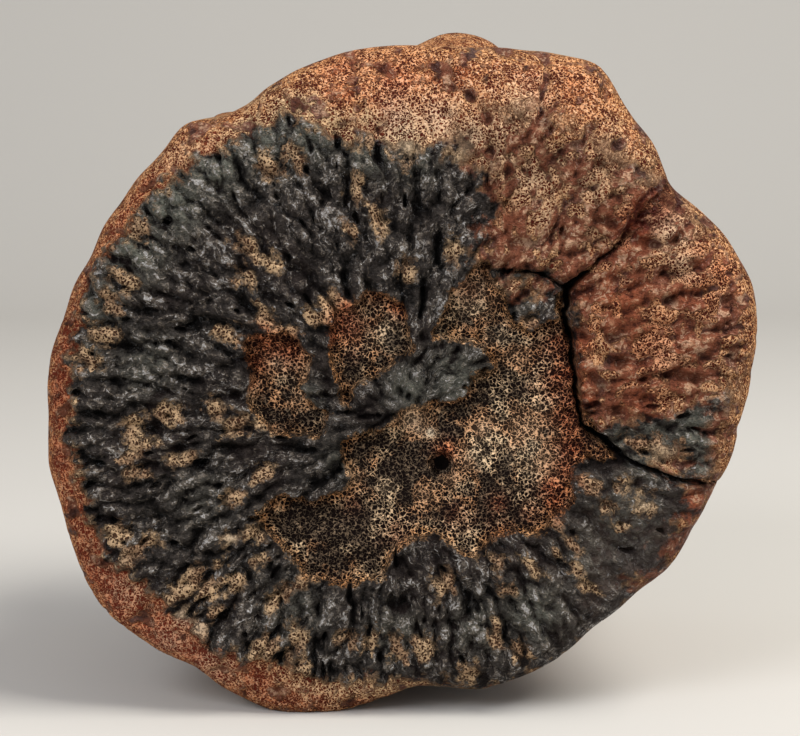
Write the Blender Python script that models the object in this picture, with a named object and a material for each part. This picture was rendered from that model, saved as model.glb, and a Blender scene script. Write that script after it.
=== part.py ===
"""Fossil whale vertebra: the round body of one bone, turned to stone, standing on its rim.

Metres, +Z up. The front end face looks towards -Y, +X is to its right, and the origin is on
the floor under the middle of the bone. The bone is one solid. It starts as a cube cut into
small faces: the cube's front and back become the two round end faces, its four sides become
the waisted flank, and the cracks are cut into it last.
"""
from itertools import product

import bmesh
import bpy
import numpy as np

MM = 0.001

# Driving dimensions
DEPTH = 110 * MM                # between the plain forms of the two end faces
AXIS_HEIGHT = 89.5 * MM         # middle of the end faces above the floor
WAIST = 6 * MM                  # how far the flank pulls in halfway along
REAR_SCALE = 0.965              # rear end face against the front one
POCKET_DEPTH = 3.2 * MM         # spongy pockets below the crust around them
CRUST_RISE = 0.9 * MM           # crust above the bare rim
RIDGE_HEIGHT = 1.9 * MM         # radial ridges of the crust
RIDGE_SPACING = 7.5 * MM        # crest to crest across the ridges
RIDGE_REACH = 10 * MM           # how far each ridge is drawn out along its radius
REAR_RIDGE_SHARE = 0.75         # height of the rear face's ridges against the front's
LUMP_HEIGHT = 1.1 * MM          # low lumps all over
LUMP_SIZE = 15 * MM
FACES_PER_EDGE = 150            # cube faces along each edge before thinning
KEPT_FACES = 9300               # triangles left after thinning

# Front end face, as (degrees anticlockwise from +X, radius in mm)
FRONT_OUTLINE = np.array((
    (2, 93.8), (13, 97.3), (22, 95.2), (29, 91.8), (37, 89.5), (44, 91.5), (51, 94.5),
    (58, 98.0), (64, 96.2), (71, 93.4), (80, 90.5), (90, 89.4), (99, 88.7), (107, 86.9),
    (114, 85.5), (119, 83.4), (124, 84.6), (128, 87.6), (135, 88.0), (144, 88.3),
    (154, 88.7), (163, 90.4), (173, 92.0), (183, 94.4), (191, 95.6), (200, 97.1),
    (207, 98.5), (212, 100.4), (218, 100.4), (224, 99.0), (229, 97.7), (233, 95.9),
    (241, 95.0), (250, 93.7), (257, 90.9), (262, 88.7), (267, 85.8), (272, 83.6),
    (279, 84.8), (285, 86.9), (298, 86.8), (308, 84.9), (316, 86.4), (330, 89.2),
    (341, 88.9), (345, 90.6), (353, 91.6),
))

# Rounded edge of an end face: (degrees, half width in degrees, extra width, extra depth)
EDGE_WIDTH = 8 * MM
EDGE_DEPTH = 8 * MM
EDGE_SWELLS = (
    (88, 42, 17 * MM, 9 * MM),
    (8, 30, 6 * MM, 4 * MM),
    (150, 25, 2 * MM, 2 * MM),
)

# Broken stubs and low keels on the flank:
# (degrees, half width in degrees, height, place along Y, half length along Y)
FLANK_SWELLS = (
    (79, 11, 10.5 * MM, 22 * MM, 26 * MM),
    (129, 8, 6.5 * MM, 14 * MM, 32 * MM),
    (12, 15, 5 * MM, 6 * MM, 32 * MM),
    (213, 17, 5 * MM, 16 * MM, 30 * MM),
    (252, 13, 9.5 * MM, 8 * MM, 52 * MM),
    (287, 14, 11.5 * MM, 24 * MM, 32 * MM),
)

# Dark crust of the front face and the spongy pockets broken through it,
# as (x, height above the floor) in mm
CRUST_OUTLINE = (
    (-86, 98), (-83, 115), (-75, 127), (-61, 144), (-45, 153), (-28, 161), (-16, 155),
    (3, 153), (12, 153), (24, 161), (36, 160), (47, 154), (64, 146), (76, 131), (86, 114),
    (90, 90), (85, 62), (70, 39), (51, 22), (30, 12), (5, 10), (-23, 9), (-46, 20),
    (-65, 33), (-77, 44), (-84, 58), (-87, 78),
)
LEFT_POCKET = (
    (-40, 103), (-31, 105), (-23, 98), (-26, 90), (-18, 83), (-22, 76), (-33, 75),
    (-41, 85),
)
MIDDLE_POCKET = (
    (-20, 102), (-18, 109), (-10, 115), (2, 111), (3, 101), (-2, 95), (-12, 90),
    (-14, 82), (-17, 92),
)
MAIN_POCKET = (
    (-40, 55), (-32, 60), (-19, 60), (-14, 66), (-16, 75), (-3, 80), (2, 85), (15, 87),
    (24, 96), (18, 102), (9, 103), (12, 114), (22, 124), (43, 114), (48, 84), (58, 70),
    (48, 71), (45, 61), (39, 51), (26, 49), (20, 43), (10, 49), (0, 48), (-4, 38),
    (-15, 36), (-27, 39), (-34, 50),
)
CRUST_ISLAND = ((25, 121), (34, 123), (42, 117), (41, 108), (34, 104), (27, 111))
POCKET_EDGE = 2.2 * MM          # width of the slope at the edge of a pocket
POCKET_WANDER = 2.2 * MM        # how far noise moves the edge of a pocket or of the crust
WANDER_SIZE = 9 * MM
CRUST_EDGE = 3 * MM
RIDGE_CENTRE = (2 * MM, 82 * MM)

# Rear face: its crust stops short of the edge, and one worn patch lies off centre
REAR_CRUST_MARGIN = 13 * MM
REAR_PATCH_CENTRE = (-14 * MM, 84 * MM)
REAR_PATCH_RADIUS = 27 * MM
REAR_PATCH_SWING = 9 * MM       # how far the edge of the patch wanders
REAR_PATCH_DEPTH = 2.4 * MM

# Cracks round the loose-looking block, as (x, height, width, depth) in mm
MAIN_CRACK = (
    (86, 150, 2.6, 16), (74, 144, 3.4, 9), (66, 137, 4.6, 7), (59, 129, 3.4, 7),
    (51, 122, 1.6, 7), (44, 116, 3.2, 10), (43, 108, 2.8, 12), (46, 94, 2.4, 12),
    (48, 79, 2.6, 12), (54, 75, 3.6, 13), (60, 70, 2.6, 12), (69, 66, 1.6, 10),
    (82, 64, 1.5, 12), (96, 60, 1.6, 20),
)
HAIR_CRACK = ((22, 121, 1.0, 3), (30, 120, 1.2, 5), (37, 119.5, 1.1, 5), (44, 115, 1.4, 6))
CRACK_FLOOR_SHARE = 0.35        # width of a crack's floor against its mouth
CRACK_MOUTH_RISE = 6 * MM       # how far the cutter stands out of the front face

STONE_COLOUR = (0.105, 0.062, 0.044, 1.0)
STONE_ROUGHNESS = 0.62


def turn_from(angle, centre):
    """Degrees from a centre angle, wrapped to between -180 and 180."""
    return (angle - centre + 180) % 360 - 180


def hump(distance, reach):
    """A bell: 1 at the middle and nearly 0 at twice its reach."""
    return np.exp(-(distance / reach) ** 2)


def step(value, width):
    """A smooth step from 0 to 1 as value goes from minus half its width to plus half."""
    share = np.clip(value / width + 0.5, 0, 1)
    return share * share * (3 - 2 * share)


def lattice_noise(points, size, seed):
    """Gradient noise of about -1 to 1, with lumps about one size across.

    Each corner of a cubic lattice has a slope of its own, and a point takes the eased mean
    of what the slopes of its cell's eight corners give there.
    """
    rng = np.random.default_rng(seed)
    order = rng.permutation(256)
    slopes = rng.normal(size=(256, 3))
    slopes /= np.linalg.norm(slopes, axis=1)[:, None]
    cell = np.floor(points / size).astype(int)
    inside = points / size - cell
    ease = inside ** 3 * (inside * (inside * 6 - 15) + 10)
    total = np.zeros(len(points))
    for corner in product((0, 1), repeat=3):
        near = (cell + corner) % 256
        pick = order[(order[(order[near[:, 0]] + near[:, 1]) % 256] + near[:, 2]) % 256]
        share = np.prod(np.where(corner, ease, 1 - ease), axis=1)
        total += share * ((inside - corner) * slopes[pick]).sum(axis=1)
    return 1.7 * total


def depth_inside(x, z, outline):
    """How far each point is inside a closed outline in metres, and below 0 outside it."""
    corners = np.array(outline) * MM
    nearest = np.full(x.shape, np.inf)
    crossings = np.zeros(x.shape, dtype=int)
    for (ax, az), (bx, bz) in zip(corners, np.roll(corners, -1, axis=0)):
        along = ((x - ax) * (bx - ax) + (z - az) * (bz - az)) / ((bx - ax) ** 2 + (bz - az) ** 2)
        along = np.clip(along, 0, 1)
        gap = np.hypot(x - ax - along * (bx - ax), z - az - along * (bz - az))
        nearest = np.minimum(nearest, gap)
        if az != bz:
            spans = (az > z) != (bz > z)
            crossings += spans & (x < ax + (z - az) / (bz - az) * (bx - ax))
    return np.where(crossings % 2 == 1, nearest, -nearest)


def front_radius(angle):
    """Radius of the front outline: a cubic through its points, each with its neighbours' slope."""
    around = np.concatenate([FRONT_OUTLINE[-3:] - (360, 0), FRONT_OUTLINE,
                             FRONT_OUTLINE[:3] + (360, 0)])
    knots = around[:, 0]
    radii = around[:, 1] * MM
    slopes = np.gradient(radii, knots)
    turned = angle % 360
    i = np.searchsorted(knots, turned, side="right") - 1
    gap = knots[i + 1] - knots[i]
    t = (turned - knots[i]) / gap
    return ((2 * t ** 3 - 3 * t ** 2 + 1) * radii[i] + (t ** 3 - 2 * t ** 2 + t) * gap * slopes[i]
            + (3 * t ** 2 - 2 * t ** 3) * radii[i + 1] + (t ** 3 - t ** 2) * gap * slopes[i + 1])


def rear_radius(angle):
    """Radius of the rear outline: the front one, a little smaller and less lumpy."""
    plain = 0.5 * front_radius(angle) + 0.25 * (front_radius(angle + 14) + front_radius(angle - 14))
    return REAR_SCALE * plain + 1.5 * MM * np.sin(np.radians(3 * angle + 40))


def edge_size(angle):
    """Width across the face and depth along Y of the rounded edge at each angle."""
    width = np.full(angle.shape, EDGE_WIDTH)
    depth = np.full(angle.shape, EDGE_DEPTH)
    for centre, reach, extra_width, extra_depth in EDGE_SWELLS:
        bell = hump(turn_from(angle, centre), reach)
        width += extra_width * bell
        depth += extra_depth * bell
    return width, depth


def round_face(angle, rho, radius):
    """Radius, depth behind the face and tilt of the surface over one end face.

    rho goes from 0 at the middle to 1 where the flank starts: first flat, then a quarter of
    an ellipse whose tilt goes from 0 to 90 degrees.
    """
    width, depth = edge_size(angle)
    flat = radius - width
    flat_share = flat / (flat + 0.785 * (width + depth))
    tilt = np.clip((rho - flat_share) / (1 - flat_share), 0, 1) * np.pi / 2
    out = np.where(rho < flat_share, flat * rho / flat_share, flat + width * np.sin(tilt))
    return out, depth * (1 - np.cos(tilt)), tilt


def flank_swell(angle, y):
    """Height of the broken stubs and keels above the waisted flank."""
    height = np.zeros(angle.shape)
    for centre, reach, rise, middle, half_length in FLANK_SWELLS:
        along = hump(y - middle, half_length)
        height += rise * hump(turn_from(angle, centre), reach) * along
    return height


def ridges(x, z):
    """Radial ridges: noise smeared along the radius, so its lumps become ridges."""
    out_x = x - RIDGE_CENTRE[0]
    out_z = z - RIDGE_CENTRE[1]
    away = np.maximum(np.hypot(out_x, out_z), 4 * MM)
    total = np.zeros(x.shape)
    smears = np.linspace(-0.5, 0.5, 7)
    for smear in smears:
        scale = 1 + smear * RIDGE_REACH / away
        here = np.stack([RIDGE_CENTRE[0] + out_x * scale, RIDGE_CENTRE[1] + out_z * scale,
                         np.zeros(x.shape)], axis=1)
        total += lattice_noise(here, RIDGE_SPACING * 0.62, seed=5)
    return 1.9 * total / len(smears)


def wander(x, z):
    """Points moved a little by noise, so that an outline read at them has a ragged edge."""
    flat = np.stack([x, np.zeros(x.shape), z], axis=1)
    return (x + POCKET_WANDER * lattice_noise(flat, WANDER_SIZE, seed=11),
            z + POCKET_WANDER * lattice_noise(flat, WANDER_SIZE, seed=12))


def pocket_share(x, z):
    """1 in the spongy pockets of the front face, 0 on the crust, sloped between."""
    share = np.zeros(x.shape)
    for outline in (LEFT_POCKET, MIDDLE_POCKET, MAIN_POCKET):
        share = np.maximum(share, step(depth_inside(x, z, outline), POCKET_EDGE))
    return share * (1 - step(depth_inside(x, z, CRUST_ISLAND), POCKET_EDGE))


def front_relief(x, z):
    """Height of the front face's crust, ridges and pockets above its plain form."""
    moved_x, moved_z = wander(x, z)
    crust = step(depth_inside(moved_x, moved_z, CRUST_OUTLINE), CRUST_EDGE)
    pocket = pocket_share(moved_x, moved_z)
    return crust * (1 - pocket) * (CRUST_RISE + RIDGE_HEIGHT * ridges(x, z)) - pocket * POCKET_DEPTH


def rear_relief(x, z, angle, out):
    """Height of the rear face's crust, ridges and worn patch above its plain form."""
    crust = step(rear_radius(angle) - REAR_CRUST_MARGIN - out, CRUST_EDGE)
    from_patch = np.hypot(x - REAR_PATCH_CENTRE[0], z - REAR_PATCH_CENTRE[1])
    round_patch = np.arctan2(z - REAR_PATCH_CENTRE[1], x - REAR_PATCH_CENTRE[0])
    patch_edge = REAR_PATCH_RADIUS + REAR_PATCH_SWING * np.sin(2 * round_patch + 1) \
        * np.cos(3 * round_patch)
    patch = step(patch_edge - from_patch, POCKET_EDGE)
    ridge = REAR_RIDGE_SHARE * RIDGE_HEIGHT * ridges(-x, z)
    return crust * (1 - patch) * (CRUST_RISE + ridge) - patch * REAR_PATCH_DEPTH


def bone_surface(cube):
    """Where each point of a cube from -1 to 1 goes on the bone.

    On the front and back the larger of |x| and |z| is the share of the way out to the flank,
    and the place along that square ring is the angle. On the sides y is the way along.
    """
    square = cube[:, [0, 2]]
    size = np.abs(square).max(axis=1)
    across, up = (square / np.maximum(size, 1e-9)[:, None]).T
    sideways = np.abs(across) >= np.abs(up)
    angle = np.where(sideways, 45 * up / np.where(sideways, across, 1),
                     90 - 45 * across / np.where(sideways, 1, up))
    angle = np.where(np.where(sideways, across, up) < 0, angle + 180, angle) % 360
    rho = np.where(np.abs(cube[:, 1]) > 1 - 1e-6, size, 1)
    rear = cube[:, 1] > 1 - 1e-6

    front_out, front_back, front_tilt = round_face(angle, rho, front_radius(angle))
    rear_out, rear_back, rear_tilt = round_face(angle, rho, rear_radius(angle))
    along = (cube[:, 1] + 1) / 2
    front_y = -DEPTH / 2 + front_back
    rear_y = DEPTH / 2 - rear_back
    y = front_y + along * (rear_y - front_y)
    blend = step(along - 0.5, 1)
    out = front_out + blend * (rear_out - front_out)
    out -= WAIST * np.sin(np.pi * along) ** 2
    tilt = np.where(rear, rear_tilt, front_tilt)
    out += np.sin(tilt) * flank_swell(angle, y)

    x = out * np.cos(np.radians(angle))
    z = out * np.sin(np.radians(angle)) + AXIS_HEIGHT
    relief = np.cos(tilt) * np.where(rear, rear_relief(x, z, angle, out), front_relief(x, z))
    place = np.stack([x, y, z], axis=1)
    relief += LUMP_HEIGHT * lattice_noise(place, LUMP_SIZE, seed=2)
    facing = np.where(rear, 1, -1) * np.cos(tilt)
    normal = np.stack([np.sin(tilt) * np.cos(np.radians(angle)), facing,
                       np.sin(tilt) * np.sin(np.radians(angle))], axis=1)
    return place + relief[:, None] * normal


def add_object(name, mesh, collection):
    """Put a new mesh object in a collection."""
    thing = bpy.data.objects.new(name, mesh)
    collection.objects.link(thing)
    return thing


def make_bone(collection):
    """The bone's body: a finely cut cube moved on to the bone's surface, then thinned."""
    bm = bmesh.new()
    bmesh.ops.create_cube(bm, size=2)
    bmesh.ops.subdivide_edges(bm, edges=bm.edges[:], cuts=FACES_PER_EDGE - 1, use_grid_fill=True)
    mesh = bpy.data.meshes.new("vertebra")
    bm.to_mesh(mesh)
    bm.free()
    cube = np.empty(3 * len(mesh.vertices))
    mesh.vertices.foreach_get("co", cube)
    mesh.vertices.foreach_set("co", bone_surface(cube.reshape(-1, 3)).ravel())
    mesh.update()
    bone = add_object("vertebra", mesh, collection)
    thin = bone.modifiers.new("thin", "DECIMATE")
    thin.ratio = KEPT_FACES / (12 * FACES_PER_EDGE ** 2)
    return bone


def make_crack_cutter(name, route, collection):
    """A ribbon wedge along a crack: at each point of the route, a mouth and a narrower floor."""
    x, z, width, depth = (np.array(route, dtype=float) * MM).T
    side_x = -np.gradient(z)
    side_z = np.gradient(x)
    length = np.hypot(side_x, side_z)
    side_x *= width / length / 2
    side_z *= width / length / 2
    mouth_y = np.full(x.shape, -DEPTH / 2 - CRACK_MOUTH_RISE)
    floor_y = -DEPTH / 2 + depth
    corners = []
    for side, share, y in ((1, 1, mouth_y), (-1, 1, mouth_y), (-1, CRACK_FLOOR_SHARE, floor_y),
                           (1, CRACK_FLOOR_SHARE, floor_y)):
        corners.append(np.stack([x + side * share * side_x, y, z + side * share * side_z], axis=1))
    rings = np.stack(corners, axis=1).reshape(-1, 3)
    last = 4 * (len(x) - 1)
    faces = [(0, 1, 2, 3), (last + 3, last + 2, last + 1, last)]
    for start, corner in product(range(0, last, 4), range(4)):
        following = (corner + 1) % 4
        faces.append((start + corner, start + 4 + corner, start + 4 + following, start + following))
    mesh = bpy.data.meshes.new(name)
    mesh.from_pydata(rings.tolist(), [], faces)
    bm = bmesh.new()
    bm.from_mesh(mesh)
    bmesh.ops.recalc_face_normals(bm, faces=bm.faces[:])
    bm.to_mesh(mesh)
    bm.free()
    return add_object(name, mesh, collection)


def make_floor_cutter(collection):
    """A block under the floor, which leaves the flat that the bone rests on."""
    bm = bmesh.new()
    bmesh.ops.create_cube(bm, size=4 * DEPTH)
    bmesh.ops.translate(bm, verts=bm.verts[:], vec=(0, 0, -2 * DEPTH))
    mesh = bpy.data.meshes.new("floor_cutter")
    bm.to_mesh(mesh)
    bm.free()
    return add_object("floor_cutter", mesh, collection)


def make_stone():
    """Brown-black mineralised bone."""
    stone = bpy.data.materials.new("fossil_bone")
    stone.use_nodes = True
    shader = stone.node_tree.nodes["Principled BSDF"]
    shader.inputs["Base Color"].default_value = STONE_COLOUR
    shader.inputs["Roughness"].default_value = STONE_ROUGHNESS
    shader.inputs["Metallic"].default_value = 0.0
    return stone


def add_collection(name):
    """A collection in the scene."""
    collection = bpy.data.collections.new(name)
    bpy.context.scene.collection.children.link(collection)
    return collection


for leftover in list(bpy.data.objects):
    bpy.data.objects.remove(leftover)
parts = add_collection("fossil_whale_vertebra")
cutters = add_collection("cutters")

bone = make_bone(parts)
bone.data.materials.append(make_stone())
for cutter in (make_crack_cutter("main_crack_cutter", MAIN_CRACK, cutters),
               make_crack_cutter("hair_crack_cutter", HAIR_CRACK, cutters),
               make_floor_cutter(cutters)):
    cutter.hide_render = True
    cutter.display_type = "WIRE"
    cut = bone.modifiers.new(cutter.name, "BOOLEAN")
    cut.operation = "DIFFERENCE"
    cut.object = cutter
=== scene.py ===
from itertools import product

import bpy
import numpy as np
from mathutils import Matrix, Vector


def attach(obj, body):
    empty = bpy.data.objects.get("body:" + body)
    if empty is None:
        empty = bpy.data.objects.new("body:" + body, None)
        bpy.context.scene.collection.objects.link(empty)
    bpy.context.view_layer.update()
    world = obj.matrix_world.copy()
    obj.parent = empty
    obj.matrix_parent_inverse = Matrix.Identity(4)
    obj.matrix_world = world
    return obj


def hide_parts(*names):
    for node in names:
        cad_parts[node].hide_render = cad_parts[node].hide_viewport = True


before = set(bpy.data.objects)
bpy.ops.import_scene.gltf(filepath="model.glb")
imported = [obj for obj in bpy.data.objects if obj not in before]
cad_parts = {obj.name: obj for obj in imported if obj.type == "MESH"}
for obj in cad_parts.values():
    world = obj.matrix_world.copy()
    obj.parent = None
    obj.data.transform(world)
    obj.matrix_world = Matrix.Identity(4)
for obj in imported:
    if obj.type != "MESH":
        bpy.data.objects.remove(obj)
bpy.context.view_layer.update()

MM = 0.001                      # every size below is in millimetres until a mesh is made


# ---------------------------------------------------------------------------------------
# The bone: the body of one whale vertebra, turned to stone by minerals in the ground.
# It grew as one piece: a short waisted drum of spongy bone under a thin smooth cortex.
# Its end plates had not fused, so each end face is a crust of radial ridges; where that
# crust has worn through, the open cells of the spongy bone show.
# ---------------------------------------------------------------------------------------

DEPTH = 110                     # between the plain forms of the two end faces
AXIS_HEIGHT = 89.5              # middle of the end faces above the floor
WAIST = 6                       # how far the flank pulls in halfway along
REAR_SCALE = 0.965              # size of the rear end face against the front one
POCKET_DEPTH = 3.2              # spongy pockets below the crust around them
CRUST_RISE = 0.9                # crust above the bare rim
RIDGE_HEIGHT = 1.1              # broad radial ridges of the crust
KNOB_HEIGHT = 1.5               # knobs that the ridges break up into
KNOB_SIZE = 4.6
KNOB_STRETCH = 1.9              # their length along the radius against their width
SMALL_KNOB_HEIGHT = 0.4
SMALL_KNOB_SIZE = 2.3           # lesser knobs between them
SMALL_KNOB_STRETCH = 1.5
PIT_DEPTH = 2.4                 # pits between the knobs
CREST_LIMIT = 2.2               # height the knobs and ridges ease off towards
CALM_CENTRE = (65, 42)          # the crust lies calmer round here
CALM_REACH = 25
RIDGE_SPACING = 7.5
RIDGE_REACH = 10                # how far each ridge is drawn out along its radius
REAR_RIDGE_SHARE = 0.75         # height of the rear face's ridges against the front's
LUMP_HEIGHT = 1.1               # low lumps all over
LUMP_SIZE = 15

# Front end face, as (degrees anticlockwise from +X, radius)
FRONT_OUTLINE = np.array((
    (2, 93.8), (13, 97.3), (22, 95.2), (29, 91.8), (37, 89.5), (44, 91.5), (51, 94.5),
    (58, 98.0), (64, 96.2), (71, 93.4), (80, 90.5), (90, 89.4), (99, 88.7), (107, 86.9),
    (114, 85.5), (119, 83.4), (124, 84.6), (128, 87.6), (135, 88.0), (144, 88.3),
    (154, 88.7), (163, 90.4), (173, 92.0), (183, 94.4), (191, 95.6), (200, 97.1),
    (207, 98.5), (212, 100.4), (218, 100.4), (224, 99.0), (229, 97.7), (233, 95.9),
    (241, 95.0), (250, 93.7), (257, 90.9), (262, 88.7), (267, 85.8), (272, 83.6),
    (279, 84.8), (285, 86.9), (298, 86.8), (308, 84.7), (316, 85.7), (330, 88.0),
    (341, 88.9), (345, 90.6), (353, 91.6),
))

# Rounded edge of an end face: (degrees, half width in degrees, extra width, extra depth)
EDGE_WIDTH = 8
EDGE_DEPTH = 8
EDGE_SWELLS = ((88, 42, 17, 9), (8, 30, 6, 4), (150, 25, 2, 2))

# Broken stubs and low keels on the flank:
# (degrees, half width in degrees, height, place along Y, half length along Y)
FLANK_SWELLS = (
    (79, 11, 10.5, 22, 26), (129, 8, 6.5, 14, 32), (12, 15, 5, 6, 32),
    (213, 17, 5, 16, 30), (252, 13, 9.5, 8, 52), (287, 14, 11.5, 24, 32),
)

# Dark crust of the front face and the spongy pockets through it, as (x, height)
CRUST_OUTLINE = (
    (-86, 98), (-83, 115), (-75, 127), (-61, 144), (-45, 153), (-28, 161), (-16, 155),
    (3, 153), (12, 153), (24, 161), (36, 160), (47, 154), (64, 146), (76, 131), (86, 114),
    (88, 90), (82, 63), (67, 42), (48, 25), (29, 14), (5, 11), (-23, 10), (-48, 18),
    (-65, 33), (-77, 44), (-84, 58), (-87, 78),
)
LEFT_POCKET = (
    (-40, 103), (-31, 105), (-23, 98), (-26, 90), (-18, 83), (-22, 76), (-33, 75),
    (-41, 85),
)
MIDDLE_POCKET = (
    (-20, 102), (-18, 109), (-10, 115), (2, 111), (3, 101), (-2, 95), (-12, 90),
    (-14, 82), (-17, 92),
)
MAIN_POCKET = (
    (-40, 55), (-32, 60), (-19, 60), (-14, 66), (-16, 75), (-3, 80), (2, 85), (15, 87),
    (24, 96), (18, 102), (9, 103), (12, 114), (22, 124), (43, 114), (48, 84), (58, 70),
    (48, 71), (45, 61), (39, 51), (26, 49), (20, 43), (10, 49), (0, 48), (-4, 38),
    (-15, 36), (-27, 39), (-34, 50),
)
CRUST_ISLAND = ((25, 121), (34, 123), (42, 117), (41, 108), (34, 104), (27, 111))
# Upper right part of the crust, brown to mauve and with little black mineral
MAUVE_OUTLINE = (
    (13, 165), (12, 159), (17, 153), (16, 149), (22, 146), (19, 141), (25, 137), (20, 132),
    (23, 129), (17, 125), (21, 122), (45, 116), (46, 94), (49, 78), (62, 80), (76, 84),
    (90, 90), (98, 112), (84, 128), (66, 141), (56, 150), (40, 160),
)
POCKET_EDGE = 1.6               # width of the slope at the edge of a pocket
POCKET_WANDER = 2.2             # how far noise moves the edge of a pocket or of the crust
WANDER_SIZE = 9
CRUST_EDGE = 3                  # width of the slope at the crust's outer edge
FRINGE = 2.0                    # how far the crust's edge reaches out in radial teeth
TOOTH_SPACING = 5.5
TOOTH_REACH = 12
RIDGE_CENTRE = (2, 82)          # place that the ridges run out from
DIMPLE_SIZE = 5                 # soft hollows of the rim and of the mauve crust
DIMPLE_DEPTH = 1.6
BASIN_HOLE = (11, 68)           # a black hole in the floor of the main pocket
BASIN_HOLE_RADIUS = 2.2
BASIN_HOLE_DEPTH = 4

# Rear face: its crust stops short of the edge, and one worn patch lies off centre
REAR_CRUST_MARGIN = 13
REAR_PATCH_CENTRE = (-14, 84)
REAR_PATCH_RADIUS = 27
REAR_PATCH_SWING = 5
REAR_PATCH_DEPTH = 2.4

# Cracks round the loose-looking block, as (x, height, width, depth)
MAIN_CRACK = (
    (86, 150, 1.6, 4), (74, 144, 2.6, 3), (66, 137, 4.4, 3), (60, 130, 2.2, 2.5),
    (56, 126, 0.8, 2.5), (50, 121, 0.6, 4), (44, 116, 2.2, 8), (43, 108, 1.4, 9),
    (46, 94, 1.0, 8), (48, 79, 1.0, 8), (54, 75, 2.4, 10), (60, 70, 1.6, 8),
    (69, 66, 0.7, 6), (82, 64, 0.7, 6), (96, 60, 0.8, 8),
)
HAIR_CRACK = ((22, 121, 0.6, 2), (30, 120, 0.8, 3), (37, 119.5, 0.7, 3), (44, 115, 1.0, 4))
CRACK_WALL = 1.3                # width over which a crack's wall falls
GULLY_CENTRE = (65, 135)        # rust-filled stretch of the main crack, on its way to the rim
GULLY_STRETCH = 3
GULLY_REACH = 6

FACE_CELLS = 340                # cells across an end face
FLANK_CELLS = 110               # cells along the flank
KEPT_TRIANGLES = 196000
FINE_UP_TO = -43                # the front face keeps more triangles, up to this Y


def turn_from(angle, centre):
    """Degrees from a centre angle, wrapped to between -180 and 180."""
    return (angle - centre + 180) % 360 - 180


def hump(distance, reach):
    """A bell: 1 at the middle and nearly 0 at twice its reach."""
    return np.exp(-(distance / reach) ** 2)


def step(value, width):
    """A smooth step from 0 to 1 as value goes from minus half its width to plus half."""
    share = np.clip(value / width + 0.5, 0, 1)
    return share * share * (3 - 2 * share)


def lattice_noise(points, size, seed):
    """Gradient noise of about -1 to 1, with lumps about one size across.

    Each corner of a cubic lattice has a slope of its own, and a point takes the eased mean
    of what the slopes of its cell's eight corners give there.
    """
    rng = np.random.default_rng(seed)
    order = rng.permutation(256)
    slopes = rng.normal(size=(256, 3))
    slopes /= np.linalg.norm(slopes, axis=1)[:, None]
    cell = np.floor(points / size).astype(int)
    inside = points / size - cell
    ease = inside ** 3 * (inside * (inside * 6 - 15) + 10)
    total = np.zeros(len(points))
    for corner in product((0, 1), repeat=3):
        near = (cell + corner) % 256
        pick = order[(order[(order[near[:, 0]] + near[:, 1]) % 256] + near[:, 2]) % 256]
        share = np.prod(np.where(corner, ease, 1 - ease), axis=1)
        total += share * ((inside - corner) * slopes[pick]).sum(axis=1)
    return 1.7 * total


def depth_inside(x, z, outline):
    """How far each point is inside a closed outline, and below 0 outside it: the least
    distance to the outline's edges, with its sign from how many edges a ray crosses."""
    corners = np.array(outline, dtype=float)
    nearest = np.full(x.shape, np.inf)
    crossings = np.zeros(x.shape, dtype=int)
    for (ax, az), (bx, bz) in zip(corners, np.roll(corners, -1, axis=0)):
        along = ((x - ax) * (bx - ax) + (z - az) * (bz - az)) / ((bx - ax) ** 2 + (bz - az) ** 2)
        along = np.clip(along, 0, 1)
        gap = np.hypot(x - ax - along * (bx - ax), z - az - along * (bz - az))
        nearest = np.minimum(nearest, gap)
        if az != bz:
            spans = (az > z) != (bz > z)
            crossings += spans & (x < ax + (z - az) / (bz - az) * (bx - ax))
    return np.where(crossings % 2 == 1, nearest, -nearest)


def front_radius(angle):
    """Radius of the front outline: a cubic through its points, each with its neighbours' slope."""
    around = np.concatenate([FRONT_OUTLINE[-3:] - (360, 0), FRONT_OUTLINE,
                             FRONT_OUTLINE[:3] + (360, 0)])
    knots, radii = around.T
    slopes = np.gradient(radii, knots)
    turned = angle % 360
    i = np.searchsorted(knots, turned, side="right") - 1
    gap = knots[i + 1] - knots[i]
    t = (turned - knots[i]) / gap
    return ((2 * t ** 3 - 3 * t ** 2 + 1) * radii[i] + (t ** 3 - 2 * t ** 2 + t) * gap * slopes[i]
            + (3 * t ** 2 - 2 * t ** 3) * radii[i + 1] + (t ** 3 - t ** 2) * gap * slopes[i + 1])


def rear_radius(angle):
    """Radius of the rear outline: the front one, a little smaller and less lumpy."""
    beside = 0.25 * (front_radius(angle + 14) + front_radius(angle - 14))
    return (REAR_SCALE * (0.5 * front_radius(angle) + beside)
            + 1.5 * np.sin(np.radians(3 * angle + 40)))


def edge_size(angle):
    """Width across the face and depth along Y of the rounded edge at each angle."""
    width = np.full(angle.shape, float(EDGE_WIDTH))
    depth = np.full(angle.shape, float(EDGE_DEPTH))
    for centre, reach, extra_width, extra_depth in EDGE_SWELLS:
        bell = hump(turn_from(angle, centre), reach)
        width += extra_width * bell
        depth += extra_depth * bell
    return width, depth


def round_face(angle, rho, radius):
    """Radius, depth behind the face and tilt of the surface over one end face.

    rho goes from 0 at the middle to 1 where the flank starts: first flat, then a quarter of
    an ellipse whose tilt goes from 0 to 90 degrees.
    """
    width, depth = edge_size(angle)
    flat = radius - width
    flat_share = flat / (flat + 0.785 * (width + depth))
    tilt = np.clip((rho - flat_share) / (1 - flat_share), 0, 1) * np.pi / 2
    out = np.where(rho < flat_share, flat * rho / flat_share, flat + width * np.sin(tilt))
    return out, depth * (1 - np.cos(tilt)), tilt


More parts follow.
